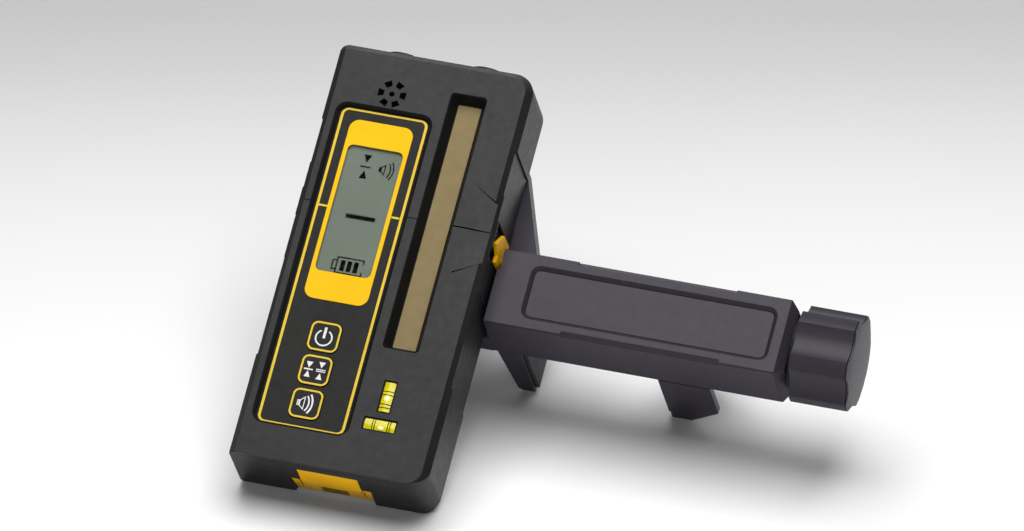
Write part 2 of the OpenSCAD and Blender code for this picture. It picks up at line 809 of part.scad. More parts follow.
module rear_case() posed(case_grey) difference() {
    union() {
        difference() {
            union() {
                case_block(0, -case_d + back_bevel, seam_z);
                flat_bottom(-case_d, 0)
                    mirror([0, 0, 1]) translate([0, 0, case_d - back_bevel]) case_frustum(back_bevel);
            }
            case_block(wall, inner_back, over);
        }
        case_bosses(boss_r, inner_back - fit, boss_split);
        span([channel_left - channel_wall, arm_mid - rail_head - rail_gap - channel_wall, inner_back - fit],
             [half_w - wall, arm_mid + rail_head + rail_gap + channel_wall, channel_front + channel_wall]);
        span([half_w - wall - notch_d, notch_low - wall, inner_back - fit],
             [half_w - wall, notch_high + wall, -cover_t - fit]);
        span([flap_x - ear_w / 2 - wall, wall - fit, inner_back - fit],
             [flap_x + ear_w / 2 + wall, frame_top, -flap_front + wall]);
        for (x = [-magnet_gap / 2, magnet_gap / 2])
            rod_y(magnet_r, x, case_h - wall - over, case_h + magnet_rise, -magnet_z);
    }
    case_bosses(case_screw_r + fit, -case_d - over, boss_split + over);
    case_bosses(case_head_r + fit, -case_d - over, -case_d + case_head_d);
    span([channel_left, arm_mid - rail_neck - rail_gap, -case_d - over],
         [half_w + over, arm_mid + rail_neck + rail_gap, rail_z + over]);
    span([channel_left, arm_mid - rail_head - rail_gap, rail_z],
         [half_w + over, arm_mid + rail_head + rail_gap, channel_front]);
    grips(-case_d - over, 0);
    span([half_w - notch_d, notch_low, -case_d + wall], [half_w + over, notch_high, seam_z - over]);
    span([-half_w - over, bump_low, latch_back - fit], [-half_w + grip_d + over, bump_high, grade_pad_front]);
    flap_pocket();
    span([flap_x - bay_w / 2, 0, bay_back], [flap_x + bay_w / 2, frame_top + over, bay_back + bay_d]);
    rod_x(flap_pin_r + snug, flap_x - flap_pin_l / 2 - fit, flap_x + flap_pin_l / 2 + fit,
          flap_pin_y, flap_pin_z);
    for (x = [-magnet_gap / 2, magnet_gap / 2])
        rod_y(disc_r + snug, x, case_h + magnet_rise - disc_t - fit, case_h + magnet_rise + over, -magnet_z);
    along_x(-case_w, case_w)
        polygon([[-over, -case_d + foot + over], [-over, -case_d - over], [foot + over, -case_d - over]]);
}

module case_seal() posed(black) difference() {
    case_block(fit, seam_z, -bevel);
    case_block(wall - fit, seam_z - over, over);
    grips(seam_z - over, 0);
}

module case_screws() posed(steel) {
    case_bosses(case_screw_r, -case_d + head_sink + over, case_screw_tip);
    case_bosses(case_head_r, -case_d + head_sink, -case_d + case_head_d);
}

module keypad_panel() posed(case_grey) difference() {
    pad(panel_x, panel_mid, panel_w - fit, panel_h - fit, panel_r - fit / 2, -recess_d, panel_top);
    display_pocket(-recess_d - over, over);
    key_holes(-recess_d - over, over);
}

module display_bezel() posed(yellow) difference() {
    pad(panel_x, bezel_mid, bezel_w, bezel_h, panel_r, panel_top, panel_top + bezel_t);
    display_plate(0, -recess_d, over);
}

module display_lens() posed([0.6, 0.65, 0.62, 0.4])
    display_plate(lens_rim, panel_top - display_lens_t, panel_top);

module lcd_panel() posed([0.45, 0.5, 0.45])
    display_plate(lens_rim, lcd_back, lcd_back + lcd_t);

// Holder behind the cover, hollow at the back
module lcd_holder() posed(black) difference() {
    display_plate(holder_rim, board_z, -cover_t);
    display_pocket(lcd_back, 0);
    display_plate(0, board_z - over, lcd_back - holder_floor);
}

// Key cap with a flange behind the cover and a stem over its switch
module key(y) posed(case_grey) {
    pad(panel_x, y, key_w, key_w, key_r, flange_top, panel_top + key_rise);
    pad(panel_x, y, key_w + 2 * key_flange, key_w + 2 * key_flange, key_r, flange_top - key_flange_t, flange_top);
    rod_z(stem_r, panel_x, y, stem_end, flange_top - key_flange_t);
}

module power_key() key(key_ys[2]);

module precision_key() key(key_ys[1]);

module volume_key() key(key_ys[0]);

module main_board() posed(board_green) difference() {
    span([board_x0, board_y0, board_z - board_t], [board_x1, board_y1, board_z]);
    for (p = posts)
        rod_z(post_screw_r + fit, p.x, p.y, board_z - board_t - over, board_z + over);
}

// Processor and two driver chips on the back of the main board
module board_parts() posed(black)
    for (p = chips)
        span([panel_x - p[1], display_low + p[0], board_z - board_t - chip_t],
             [panel_x + p[1], display_low + p[0] + p[2], board_z - board_t]);

module board_screws() posed(steel)
    for (p = posts) {
        rod_z(post_screw_r, p.x, p.y, board_z - board_t, board_z - board_t + post_screw_l);
        rod_z(post_screw_r * 2, p.x, p.y, board_z - board_t - screw_head_t, board_z - board_t);
    }

module key_switches() posed(steel)
    for (y = key_ys) {
        span([panel_x - switch_w / 2, y - switch_w / 2, board_z],
             [panel_x + switch_w / 2, y + switch_w / 2, board_z + switch_base]);
        rod_z(plunger_r, panel_x, y, board_z + switch_base, board_z + switch_h);
    }

module window_lens() posed([0.6, 0.5, 0.33])
    span([window_x - lens_w / 2, window_mid - lens_h / 2, -window_d - lens_t],
         [window_x + lens_w / 2, window_mid + lens_h / 2, -window_d]);

module sensor_board() posed(board_green)
    span([window_x - frame_w / 2, window_mid - frame_h / 2, frame_z - sensor_t],
         [window_x + frame_w / 2, window_mid + frame_h / 2, frame_z]);

module photodiodes() posed(black)
    for (i = [0:diode_n - 1]) {
        y = window_mid + (i - (diode_n - 1) / 2) * diode_pitch;
        span([window_x - diode_w / 2, y - diode_w / 2, frame_z], [window_x + diode_w / 2, y + diode_w / 2,
             frame_z + diode_t]);
    }

module sound_membrane() posed(black)
    rod_z(sound_ring_r + over, sound_x, sound_y, -cover_t - membrane_t, -cover_t);

module buzzer() posed(black)
    rod_z(buzzer_r, sound_x, sound_y, -cover_t - membrane_t - buzzer_t, -cover_t - membrane_t);

// Clear bar, narrower at the top, with a bore along its length for the liquid
module vial_bar(turn, y) posed([0.8, 0.85, 0.1])
    translate([window_x, y, 0]) rotate([0, 0, turn]) difference() {
        union() {
            pad(0, 0, vial_l, vial_w, small_r, vial_top - vial_d, vial_top - vial_neck);
            pad(0, 0, vial_l - 2 * vial_step, vial_w - 2 * vial_step, small_r, vial_top - vial_d, vial_top);
        }
        rod_x(vial_bore_r + snug, -vial_l / 2 + over, vial_l / 2 - over, 0, vial_top - vial_w / 2);
    }

module level_vial() vial_bar(0, level_y);

module plumb_vial() vial_bar(90, plumb_y);

// Liquid with a rounded space for the bubble
module vial_liquid() posed([0.75, 0.9, 0.1])
    for (p = [[0, level_y], [90, plumb_y]])
        translate([window_x, p[1], vial_top - vial_w / 2]) rotate([0, 0, p[0]]) difference() {
            rod_x(vial_bore_r, -vial_l / 2 + over, vial_l / 2 - over, 0, 0);
            rod_x(bubble_r, -bubble_l / 2, bubble_l / 2, 0, 0);
        }

module top_magnets() posed(steel)
    for (x = [-magnet_gap / 2, magnet_gap / 2])
        rod_y(disc_r, x, case_h + magnet_rise - disc_t, case_h + magnet_rise, -magnet_z);

// Pad in the left grip, notched at the on-grade line
module grade_pad() posed(black) difference() {
    span([-half_w, bump_low + fit, latch_back], [-half_w + grip_d + over, bump_high - fit, grade_pad_front - fit]);
    along_y(grade_y - line_w, grade_y + line_w)
        polygon([[-half_w - over, over], [-half_w - over, -case_d], [-half_w + grip_d, -case_d],
                 [-half_w + grip_d, over]]);
}

module battery_tray() posed(black) difference() {
    span([flap_x - bay_w / 2 - tray_wall, frame_top, inner_back],
         [flap_x + bay_w / 2 + tray_wall, tray_top, bay_back + bay_d + tray_wall]);
    span([flap_x - bay_w / 2, frame_top - over, bay_back],
         [flap_x + bay_w / 2, tray_top - tray_wall, bay_back + bay_d]);
}

module battery_cells() posed(steel)
    for (x = [-cell_x, cell_x])
        rod_y(cell_r, flap_x + x, cell_low, cell_high, cell_z);

module cell_contacts() posed(steel)
    for (x = [-cell_x, cell_x])
        translate([flap_x + x, tray_top - tray_wall, cell_z]) rotate([90, 0, 0])
            cylinder(h = spring_l, r1 = coil_foot_r, r2 = coil_tip_r);

module flap_pin() posed(steel)
    rod_x(flap_pin_r, flap_x - flap_pin_l / 2, flap_x + flap_pin_l / 2, flap_pin_y, flap_pin_z);

module battery_flap() posed(yellow) difference() {
    union() {
        span([flap_x - flap_w / 2, flap_bottom, -ear_front - over], [flap_x + flap_w / 2, flap_t, -flap_front]);
        along_x(flap_x - ear_w / 2, flap_x + ear_w / 2)
            polygon([[flap_t, -ear_front], [flap_bottom, -ear_front], [flap_bottom, crease_z],
                     [flap_slope, flap_back], [flap_t, flap_back]]);
    }
    for (x = [-1, 1])
        span([flap_x + x * (flap_w / 2 + ear_slot / 2) - ear_slot / 2, -over, -case_d - over],
             [flap_x + x * (flap_w / 2 + ear_slot / 2) + ear_slot / 2, flap_slope, -ear_front + over]);
    span([flap_x - thumb_w / 2, -over, -case_d - over],
         [flap_x + thumb_w / 2, flap_slope + thumb_d, flap_back + thumb_l]);
    rod_x(flap_pin_r + run_gap, flap_x - flap_w, flap_x + flap_w, flap_pin_y, flap_pin_z);
}

module flap_seal() posed(black) difference() {
    span([flap_x - flap_w / 2 + seal_w, flap_t, bay_back + fit],
         [flap_x + flap_w / 2 - seal_w, flap_t + seal_t, flap_pin_z - swing_r]);
    span([flap_x - flap_w / 2 + 2 * seal_w, flap_t - over, bay_back + fit + seal_w],
         [flap_x + flap_w / 2 - 2 * seal_w, flap_t + over, flap_pin_z - swing_r - seal_w]);
}

module flap_contact() posed(steel)
    span([flap_x - bay_w / 2 + seal_w, flap_t, cell_z - cell_r / 2],
         [flap_x + bay_w / 2 - seal_w, flap_t + contact_t, cell_z + cell_r / 2]);

module arm_outline()
{
    f = -arm_front;
    b = -arm_back;
    e = arm_edge;
    polygon([[arm_low + e, f], [arm_low, f - e], [arm_low, b + e], [arm_low + e, b], [arm_high - e, b],
             [arm_high, b + e], [arm_high, f - e], [arm_high - e, f]]);
}

// Long chamfer cut in a front edge of the arm
module arm_scoop(y)
{
    s = scoop / sqrt(2);
    translate([0, y, -arm_front]) rotate([45, 0, 0])
        span([scoop_x0, -s, -s], [scoop_x1, s, s]);
}

module clamp_arm() posed(case_grey) difference() {
    union() {
        along_x(arm_x0, arm_x1) arm_outline();
        along_y(arm_low, arm_high)
            polygon([[jaw_root_x, -arm_back + over], [jaw_root_x + fixed_jaw_taper, tip_z + pad_inset],
                     [jaw_root_x + fixed_jaw_taper + pad_inset, tip_z], [fixed_face - pad_t, tip_z],
                     [fixed_face - pad_t, -arm_back + over]]);
    }
    span([hollow_x, arm_mid - hollow_h / 2, arm_mid_z - hollow_d / 2],
         [arm_x1 + over, arm_mid + hollow_h / 2, arm_mid_z + hollow_d / 2]);
    span([slot_x0, arm_mid - slot_h / 2, -arm_back - over], [slot_x1, arm_mid + slot_h / 2, arm_mid_z]);
    pad(plate_x, plate_y, plate_w, plate_h, plate_r, -arm_front - plate_d - plate_t, -arm_front);
    translate([0, 0, -arm_front]) sloped_cut(plate_x, plate_y, plate_w, plate_h, plate_r, plate_d);
    arm_scoop(arm_low);
    arm_scoop(arm_high);
    rod_x(tail_r + run_gap, tail_x - over, hollow_x + over, arm_mid, arm_mid_z);
    for (y = bolt_ys)
        rod_x(bolt_r + snug, arm_x0 - over, bracket_bolt_tip + over, y, bracket_bolt_z);
    span([arm_x0 - over, notch_low, latch_back - over], [arm_x0 + relief, arm_high + over, -arm_front + over]);
    span([arm_x0 - over, latch_pin_y - barrel_r - over, barrel_back - slack],
         [latch_pin_x + barrel_r + over, arm_high + over, barrel_front + latch_spring_t + 2 * slack]);
    rod_z(latch_pin_r + snug, latch_pin_x, latch_pin_y, barrel_back - latch_pin_grip - fit, -arm_front - over);
}

module arm_plate() posed(case_grey)
    pad(plate_x, plate_y, plate_w - fit, plate_h - fit, plate_r - fit / 2, -arm_front - plate_d - plate_t,
        -arm_front - plate_d);

module arm_end_cap() posed(case_grey) difference() {
    union() {
        intersection() {
            along_y(arm_low, arm_high)
                polygon([[arm_x1, -arm_front], [cap_x, -arm_front - cap_l], [cap_x, -arm_back + cap_l],
                         [arm_x1, -arm_back]]);
            translate([0, 0, -arm_back]) linear_extrude(arm_d)
                polygon([[arm_x1, arm_low], [cap_x, arm_low + cap_l], [cap_x, arm_high - cap_l],
                         [arm_x1, arm_high]]);
        }
        span([plug_x, arm_mid - hollow_h / 2 + fit / 2, arm_mid_z - hollow_d / 2 + fit / 2],
             [arm_x1 + over, arm_mid + hollow_h / 2 - fit / 2, arm_mid_z + hollow_d / 2 - fit / 2]);
    }
    rod_x(bush_r + snug, plug_x - over, cap_x + over, arm_mid, arm_mid_z);
}

module screw_bush() posed([0.7, 0.5, 0.2]) difference() {
    rod_x(bush_r, plug_x, cap_x, arm_mid, arm_mid_z);
    rod_x(journal_r + run_gap, plug_x - over, cap_x + over, arm_mid, arm_mid_z);
}

module fixed_jaw_pad() posed(black)
    span([fixed_face - pad_t, arm_low + pad_inset, tip_z + pad_inset],
         [fixed_face, arm_high - pad_inset, -arm_back - pad_inset]);

// Plate behind the receiver, hollow at the back, with the rail on its front
module clamp_bracket() posed(case_grey) difference() {
    union() {
        translate([0, 0, -arm_back]) linear_extrude(arm_back + bracket_front)
            polygon([[bracket_left, arm_low], [bracket_right, arm_low], [bracket_right, gusset_low],
                     [gusset_x, gusset_low], [gusset_top_x, bracket_top], [bracket_left, bracket_top]]);
        span([channel_left + rail_gap, arm_mid - rail_neck, bracket_front - over],
             [bracket_right, arm_mid + rail_neck, rail_z + 2 * rail_gap]);
        span([channel_left + rail_gap, arm_mid - rail_head, rail_z + rail_gap],
             [half_w, arm_mid + rail_head, rail_z + rail_gap + rail_head_t]);
    }
    span([bracket_left + bracket_rim, arm_low + bracket_rim, -arm_back - over],
         [bracket_right - bracket_wall, arm_high - bracket_rim, bracket_front - bracket_skin]);
    translate([0, 0, -arm_back - over]) linear_extrude(arm_back + over + bracket_front - bracket_skin)
        polygon([[bracket_left + bracket_rim, gusset_low + bracket_rim],
                 [gusset_x - gusset_inset, gusset_low + bracket_rim],
                 [gusset_top_x - bracket_rim, bracket_top - bracket_rim],
                 [bracket_left + bracket_rim, bracket_top - bracket_rim]]);
    for (y = bolt_ys)
        rod_x(bolt_r + fit, bracket_right - bracket_wall - over, bracket_right + over, y, bracket_bolt_z);
}

module bracket_screws() posed(steel)
    for (y = bolt_ys) {
        rod_x(bolt_r, bracket_right - bracket_wall, bracket_bolt_tip, y, bracket_bolt_z);
        rod_x(bolt_head_r, bracket_right - bracket_wall - bolt_head_t, bracket_right - bracket_wall, y,
              bracket_bolt_z);
    }

module latch_pin() posed(steel)
    rod_z(latch_pin_r, latch_pin_x, latch_pin_y, barrel_back - latch_pin_grip, -arm_front - 2 * over);

module latch_spring() posed(steel) difference() {
    rod_z(barrel_r, latch_pin_x, latch_pin_y, barrel_front + slack, barrel_front + slack + latch_spring_t);
    rod_z(latch_pin_r + snug, latch_pin_x, latch_pin_y, barrel_front - over, 0);
}

module release_latch() posed(yellow) difference() {
    union() {
        along_x(latch_x0, latch_x1)
            polygon([[latch_nose_y, latch_nose_z], [latch_high - latch_slant, latch_top_z],
                     [latch_high, latch_back], [latch_low + latch_slant, latch_back],
                     [latch_low, latch_step_z], [latch_step_y, latch_step_z]]);
        rod_z(barrel_r, latch_pin_x, latch_pin_y, barrel_back, barrel_front);
        span([latch_x1 - fit, latch_pin_y - barrel_r / 2, barrel_back],
             [latch_pin_x, latch_pin_y + barrel_r / 2, barrel_front]);
    }
    rod_z(latch_pin_r + run_gap, latch_pin_x, latch_pin_y, barrel_back - over, barrel_front + over);
}

module jaw_carriage() posed(case_grey) difference() {
    union() {
        span([carriage_x0, arm_mid - hollow_h / 2 + slack, arm_mid_z - hollow_d / 2 + slack],
             [carriage_x1, arm_mid + hollow_h / 2 - slack, arm_mid_z + hollow_d / 2 - slack]);
        span([carriage_x0 + neck_inset, arm_mid - neck_h / 2, jaw_back],
             [carriage_x1 - neck_inset, arm_mid + neck_h / 2, arm_mid_z]);
    }
    rod_x(screw_r + slack, carriage_x0 - over, carriage_x1 + over, arm_mid, arm_mid_z);
    span([carriage_mid - nut_l / 2, arm_mid - nut_w / 2, arm_mid_z - nut_w / 2],
         [carriage_mid + nut_l / 2, arm_mid + nut_w / 2, 0]);
    for (x = [-jaw_bolt_dx, jaw_bolt_dx])
        rod_z(bolt_r + snug, carriage_mid + x, arm_mid, jaw_back - over, jaw_bolt_tip + fit);
}

module jaw_nut() posed([0.7, 0.5, 0.2]) difference() {
    span([carriage_mid - nut_l / 2 + fit / 2, arm_mid - nut_w / 2 + fit / 2, arm_mid_z - nut_w / 2],
         [carriage_mid + nut_l / 2 - fit / 2, arm_mid + nut_w / 2 - fit / 2, arm_mid_z + nut_w / 2]);
    rod_x(screw_r + run_gap, carriage_x0, carriage_x1, arm_mid, arm_mid_z);
}

module jaw_bolts() posed(steel)
    for (x = [-jaw_bolt_dx, jaw_bolt_dx]) {
        rod_z(bolt_r, carriage_mid + x, arm_mid, jaw_back - jaw_base, jaw_bolt_tip);
        rod_z(bolt_head_r, carriage_mid + x, arm_mid, jaw_back - jaw_base - bolt_head_t, jaw_back - jaw_base);
    }

// Hollow moulding with a plate behind the pad, a base and two webs
module sliding_jaw() posed(case_grey) difference() {
    along_y(arm_low, arm_high)
        polygon([[jaw_x0, jaw_back], [jaw_x0, tip_z], [jaw_x1 - jaw_corner, tip_z], [jaw_x1, tip_z + jaw_corner],
                 [jaw_x1, jaw_back]]);
    span([jaw_x0 + jaw_wall, arm_low + jaw_wall, tip_z + jaw_wall],
         [jaw_x1 + over, arm_high - jaw_wall, jaw_back - jaw_base]);
    for (x = [-jaw_bolt_dx, jaw_bolt_dx])
        rod_z(bolt_r + fit, carriage_mid + x, arm_mid, jaw_back - jaw_base - over, jaw_back + over);
}

module sliding_jaw_pad() posed(black)
    span([jaw_x0 - pad_t, arm_low + pad_inset, tip_z + pad_inset],
         [jaw_x0, arm_high - pad_inset, -arm_back - pad_inset]);

module lead_screw() posed(steel) {
    rod_x(tail_r, tail_x, tail_step, arm_mid, arm_mid_z);
    rod_x(screw_r, tail_step, plug_x - collar_l - fit, arm_mid, arm_mid_z);
    rod_x(collar_r, plug_x - collar_l - fit, plug_x - fit, arm_mid, arm_mid_z);
    rod_x(journal_r, plug_x - fit, knob_x0 + hub_l, arm_mid, arm_mid_z);
}

module thrust_ring() posed(black) difference() {
    rod_x(ring_r, cap_x + slack, knob_x0, arm_mid, arm_mid_z);
    rod_x(journal_r + snug, cap_x - over, knob_x0 + over, arm_mid, arm_mid_z);
}

// Scallops round the knob, from one end to the other
module flutes(x0, x1)
{
    translate([0, arm_mid, arm_mid_z])
        for (i = [0:flute_n - 1])
            rotate([flute_turn + i * 360 / flute_n, 0, 0]) rod_x(flute_r, x0 - over, x1 + over, flute_x, 0);
}

module knob() posed(case_grey) difference() {
    rod_x(knob_r, knob_x0, knob_x1, arm_mid, arm_mid_z);
    flutes(knob_x0, knob_x1);
    rod_x(journal_r + snug, knob_x0 - over, knob_x0 + hub_l + fit, arm_mid, arm_mid_z);
    translate([set_screw_x, arm_mid, arm_mid_z]) rotate([flute_turn + 180, 0, 0])
        rod_y(set_screw_r + snug, 0, 0, knob_r, 0);
}

module knob_end_cap() posed(case_grey) difference() {
    translate([knob_x1, arm_mid, arm_mid_z]) rotate([0, 90, 0]) rotate_extrude()
        polygon(concat([[0, 0], [groove_r, 0], [groove_r, groove_w]],
                       [for (p = dome) [p.x * knob_r, groove_w + p.y * (dome_l - groove_w)]]));
    flutes(knob_x1, knob_end);
}

module knob_set_screw() posed(steel)
    translate([set_screw_x, arm_mid, arm_mid_z]) rotate([flute_turn + 180, 0, 0])
        rod_y(set_screw_r, 0, journal_r + snug, knob_r - flute_d - over, 0);

front_cover();
rear_case();
case_seal();
case_screws();
keypad_panel();
display_bezel();
display_lens();
lcd_panel();
lcd_holder();
power_key();
precision_key();
volume_key();
main_board();
board_parts();
board_screws();
key_switches();
window_lens();
sensor_board();
photodiodes();
sound_membrane();
buzzer();
level_vial();
plumb_vial();
vial_liquid();
top_magnets();
grade_pad();
battery_tray();
battery_cells();
cell_contacts();
flap_pin();
battery_flap();
flap_seal();
flap_contact();
clamp_arm();
arm_plate();
arm_end_cap();
screw_bush();
fixed_jaw_pad();
clamp_bracket();
bracket_screws();
latch_pin();
latch_spring();
release_latch();
jaw_carriage();
jaw_nut();
jaw_bolts();
sliding_jaw();
sliding_jaw_pad();
lead_screw();
thrust_ring();
knob();
knob_end_cap();
knob_set_screw();
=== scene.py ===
"""Looks of the laser receiver: materials, softened edges, printed graphics, floor, light and camera."""
import json
import math

import bmesh
import bpy
import numpy as np
from mathutils import Matrix, Vector


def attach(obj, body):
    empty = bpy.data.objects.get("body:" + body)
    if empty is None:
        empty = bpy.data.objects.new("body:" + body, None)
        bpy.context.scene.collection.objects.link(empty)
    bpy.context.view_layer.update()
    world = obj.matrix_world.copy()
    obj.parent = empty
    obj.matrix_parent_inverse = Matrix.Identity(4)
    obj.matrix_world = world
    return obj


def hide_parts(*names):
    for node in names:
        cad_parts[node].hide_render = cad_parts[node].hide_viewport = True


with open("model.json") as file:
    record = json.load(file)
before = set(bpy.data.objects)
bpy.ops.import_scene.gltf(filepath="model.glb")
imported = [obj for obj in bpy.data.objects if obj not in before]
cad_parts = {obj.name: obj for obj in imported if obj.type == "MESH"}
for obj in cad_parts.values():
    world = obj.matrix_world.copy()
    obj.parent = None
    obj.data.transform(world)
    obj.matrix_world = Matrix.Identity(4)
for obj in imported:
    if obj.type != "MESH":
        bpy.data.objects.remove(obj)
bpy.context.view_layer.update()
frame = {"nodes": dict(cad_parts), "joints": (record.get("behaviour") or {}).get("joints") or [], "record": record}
nodes = frame["nodes"]
bodies = frame["record"]["behaviour"]["bodies"]
body_of = {n: b for b, members in bodies.items() for n in members}
slot_of = {p["node"]: p["material_slot"] for p in frame["record"]["subparts"]}
MM = 0.001

# The receiver's own frame in millimetres: x across from its middle, y up from its bottom edge,
# z out of its face
CASE_H = 175.0
press = next(j for j in frame["joints"] if j["name"] == "power_press")["axis"]
SIN, COS = press[1], -press[2]
cover = np.array([v.co for v in nodes["front_cover"].data.vertices])
along = cover[:, 1] * COS + cover[:, 2] * SIN
outward = cover[:, 2] * COS - cover[:, 1] * SIN
ORIGIN = ((cover[:, 0].min() + cover[:, 0].max()) / 2, along.max() - CASE_H * MM, outward.max())
TURN = Matrix.Rotation(math.atan2(SIN, COS), 4, "X")
LOCAL = TURN @ Matrix.Translation(ORIGIN) @ Matrix.Scale(MM, 4)


# Materials

def new_material(name):
    mat = bpy.data.materials.new(name)
    mat.use_nodes = True
    tree = mat.node_tree
    return mat, tree, tree.nodes["Principled BSDF"]


def noise(tree, scale, detail=3.0, rough=0.5, stretch=(1, 1, 1)):
    coord = tree.nodes.new("ShaderNodeTexCoord")
    mapping = tree.nodes.new("ShaderNodeMapping")
    mapping.inputs["Scale"].default_value = stretch
    tex = tree.nodes.new("ShaderNodeTexNoise")
    tex.inputs["Scale"].default_value = scale
    tex.inputs["Detail"].default_value = detail
    tex.inputs["Roughness"].default_value = rough
    tree.links.new(coord.outputs["Object"], mapping.inputs["Vector"])
    tree.links.new(mapping.outputs["Vector"], tex.inputs["Vector"])
    return tex.outputs["Fac"]


def ramp(tree, fac, low, high, at=(0.35, 0.65)):
    node = tree.nodes.new("ShaderNodeValToRGB")
    for element, place, colour in zip(node.color_ramp.elements, at, (low, high)):
        element.position = place
        element.color = (*colour, 1)
    tree.links.new(fac, node.inputs["Fac"])
    return node.outputs["Color"]


def spread(tree, fac, low, high, at=(0.3, 0.7)):
    node = tree.nodes.new("ShaderNodeMapRange")
    node.inputs["From Min"].default_value, node.inputs["From Max"].default_value = at
    node.inputs["To Min"].default_value = low
    node.inputs["To Max"].default_value = high
    tree.links.new(fac, node.inputs["Value"])
    return node.outputs["Result"]


def bump(tree, bsdf, fac, strength, distance):
    node = tree.nodes.new("ShaderNodeBump")
    node.inputs["Strength"].default_value = strength
    node.inputs["Distance"].default_value = distance
    tree.links.new(fac, node.inputs["Height"])
    tree.links.new(node.outputs["Normal"], bsdf.inputs["Normal"])


def plastic(name, low, high, rough, grain=2600.0, depth=0.00003, strength=0.35, specular=0.5):
    """Moulded plastic: faint mottling in its colour, uneven gloss and a fine grain."""
    mat, tree, bsdf = new_material(name)
    tree.links.new(ramp(tree, noise(tree, scale=45), low, high), bsdf.inputs["Base Color"])
    tree.links.new(spread(tree, noise(tree, scale=320, detail=4), *rough), bsdf.inputs["Roughness"])
    bsdf.inputs["Specular IOR Level"].default_value = specular
    bump(tree, bsdf, noise(tree, grain, detail=2), strength, depth)
    return mat


def ink(name, low, high, strength=0.2, specular=0.12):
    """Flat print with hardly any grain."""
    return plastic(name, low, high, (0.5, 0.6), grain=3000, depth=0.00001, strength=strength,
                   specular=specular)


def metal(name, low, high, rough, stretch=(1, 1, 1)):
    """Machined or plated metal with fine marks along one direction."""
    mat, tree, bsdf = new_material(name)
    marks = noise(tree, scale=900, detail=4, rough=0.6, stretch=stretch)
    tree.links.new(ramp(tree, noise(tree, scale=90), low, high), bsdf.inputs["Base Color"])
    tree.links.new(spread(tree, marks, *rough), bsdf.inputs["Roughness"])
    bsdf.inputs["Metallic"].default_value = 1.0
    bump(tree, bsdf, marks, strength=0.2, distance=0.00002)
    return mat


def clear(name, low, high, rough, alpha):
    """Clear cover that lets most light through and keeps its gloss."""
    mat, tree, bsdf = new_material(name)
    tree.links.new(ramp(tree, noise(tree, scale=60), low, high), bsdf.inputs["Base Color"])
    tree.links.new(spread(tree, noise(tree, scale=200), *rough), bsdf.inputs["Roughness"])
    bsdf.inputs["Alpha"].default_value = alpha
    return mat


def painted_glow(name, low, high, rough, strength, colour, specular=0.5, coat=0.4):
    """Tinted liquid or lens with a painted glow: its emission lights it though it is no lamp."""
    mat, tree, bsdf = new_material(name)
    tree.links.new(ramp(tree, noise(tree, scale=220, detail=2), low, high), bsdf.inputs["Base Color"])
    tree.links.new(spread(tree, noise(tree, scale=150), *rough), bsdf.inputs["Roughness"])
    bsdf.inputs["Emission Color"].default_value = (*colour, 1)
    bsdf.inputs["Emission Strength"].default_value = strength
    bsdf.inputs["Specular IOR Level"].default_value = specular
    bsdf.inputs["Coat Weight"].default_value = coat
    return mat


def grey(level):
    return (level, level, level)


CASE = plastic("case_plastic", (0.013, 0.013, 0.0135), (0.017, 0.017, 0.0175), (0.36, 0.46), specular=0.2)
PANEL = plastic("panel_film", (0.009, 0.009, 0.0085), (0.012, 0.012, 0.011), (0.42, 0.52),
                grain=3600, depth=0.00001, specular=0.15)
CLAMP = plastic("clamp_plastic", (0.0272, 0.0227, 0.0325), (0.0297, 0.0247, 0.035), (0.42, 0.47),
                grain=2200, depth=0.00004, specular=0.28)
BLACK = plastic("black_plastic", grey(0.008), grey(0.012), (0.45, 0.55), specular=0.12)
RUBBER = plastic("rubber", grey(0.012), grey(0.02), (0.7, 0.85),
                 grain=1400, depth=0.00008, strength=0.5, specular=0.3)
YELLOW = plastic("yellow_plastic", (0.9, 0.46, 0.0), (0.97, 0.51, 0.002), (0.32, 0.42),
                 grain=2400, specular=0.15)
PRINT = ink("yellow_print", (0.84, 0.49, 0.0), (0.89, 0.525, 0.002))
LINES = ink("outline_print", (0.72, 0.5, 0.035), (0.78, 0.55, 0.05))
WHITE = ink("white_print", grey(0.74), grey(0.8), specular=0.15)
INK = ink("display_ink", grey(0.0006), grey(0.0012), strength=0.1, specular=0.0)
# Painted shade: near-black rings and linings laid where only shade falls, on the recess walls of the keypad and
# the window and in the gaps round the vials.
SHADE_BLACK = plastic("black_lining", grey(0.0065), grey(0.009), (0.5, 0.65),
              grain=2400, depth=0.00002, strength=0.3, specular=0.1)
PADS = plastic("pad_rubber", (0.045, 0.044, 0.048), (0.056, 0.055, 0.06), (0.6, 0.75),
               grain=1400, depth=0.00006, strength=0.5, specular=0.25)
BOARD = plastic("solder_mask", (0.015, 0.11, 0.05), (0.025, 0.15, 0.07), (0.3, 0.4), grain=900)
WRAP = plastic("cell_wrap", (0.04, 0.04, 0.045), (0.06, 0.06, 0.07), (0.2, 0.3), grain=900, depth=0.00002)
STEEL = metal("plated_steel", (0.5, 0.5, 0.52), (0.62, 0.62, 0.64), (0.25, 0.38))
SCREW = metal("turned_steel", (0.5, 0.5, 0.52), (0.6, 0.6, 0.62), (0.22, 0.35), stretch=(12, 1, 1))
BRASS = metal("brass", (0.62, 0.42, 0.14), (0.74, 0.52, 0.2), (0.25, 0.38), stretch=(12, 1, 1))
LCD = plastic("liquid_crystal", (0.142, 0.172, 0.132), (0.156, 0.186, 0.146), (0.3, 0.36),
              grain=5200, depth=0.000004, strength=0.1, specular=0.1)
LENS = clear("display_cover", (0.02, 0.025, 0.02), (0.03, 0.035, 0.03), (0.06, 0.1), alpha=0.05)
# Painted glow in the amber window and the vial liquid, and a painted highlight in the bubbles: all three emit
# light though they are no lamps.
AMBER = painted_glow("amber_window", (0.212, 0.158, 0.07), (0.232, 0.173, 0.077), (0.35, 0.45),
                strength=0.015, colour=(0.8, 0.6, 0.3), specular=0.1, coat=0.0)
